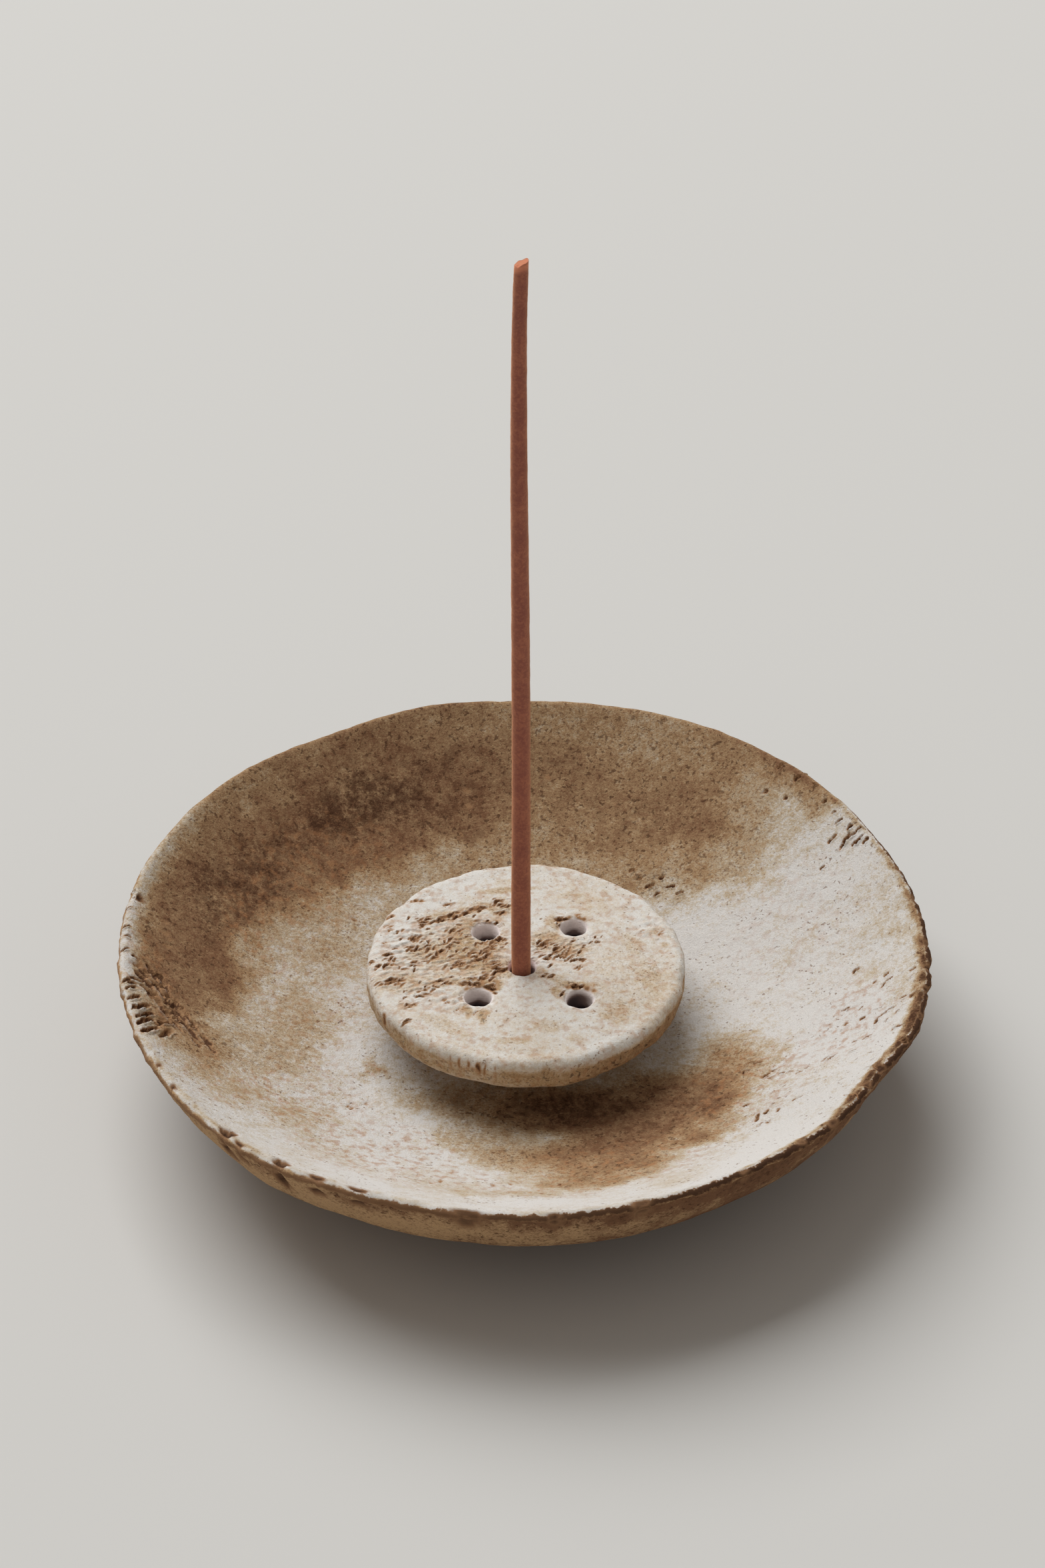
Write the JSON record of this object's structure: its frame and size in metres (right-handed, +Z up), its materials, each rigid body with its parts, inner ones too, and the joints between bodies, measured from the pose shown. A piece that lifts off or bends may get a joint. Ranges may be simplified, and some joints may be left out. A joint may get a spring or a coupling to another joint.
{
  "type": "incense burner",
  "caption": "Round hand-made ceramic saucer with a loose pierced disc that holds a thick incense stick upright.",
  "frame": {"origin": "centre of the dish's foot ring, on the surface it stands on", "axes": "+Z up along the dish's axis and the stick, -Y towards the viewer, +X to the viewer's right"},
  "size_m": [0.11, 0.11, 0.1255],
  "materials": {
    "dish_clay": "matt off-white slip worn through to brown stoneware, stained and pitted",
    "holder_clay": "matt cream slip, torn and pitted, with a brown edge",
    "incense_paste": "matt, powdery, dark red-brown pressed incense"
  },
  "bodies": {
    "dish": {"dish": "dish_clay"},
    "holder": {"stick_holder": "holder_clay"},
    "stick": {"incense_stick": "incense_paste"}
  },
  "joints": [
    {"name": "holder_lift", "type": "slide", "parent": "dish", "child": "holder", "axis": [0, 0, 1], "range_m": [0, 0.03]},
    {"name": "stick_pull", "type": "slide", "parent": "holder", "child": "stick", "axis": [0, 0, 1], "range_m": [0, 0.02]}
  ]
}
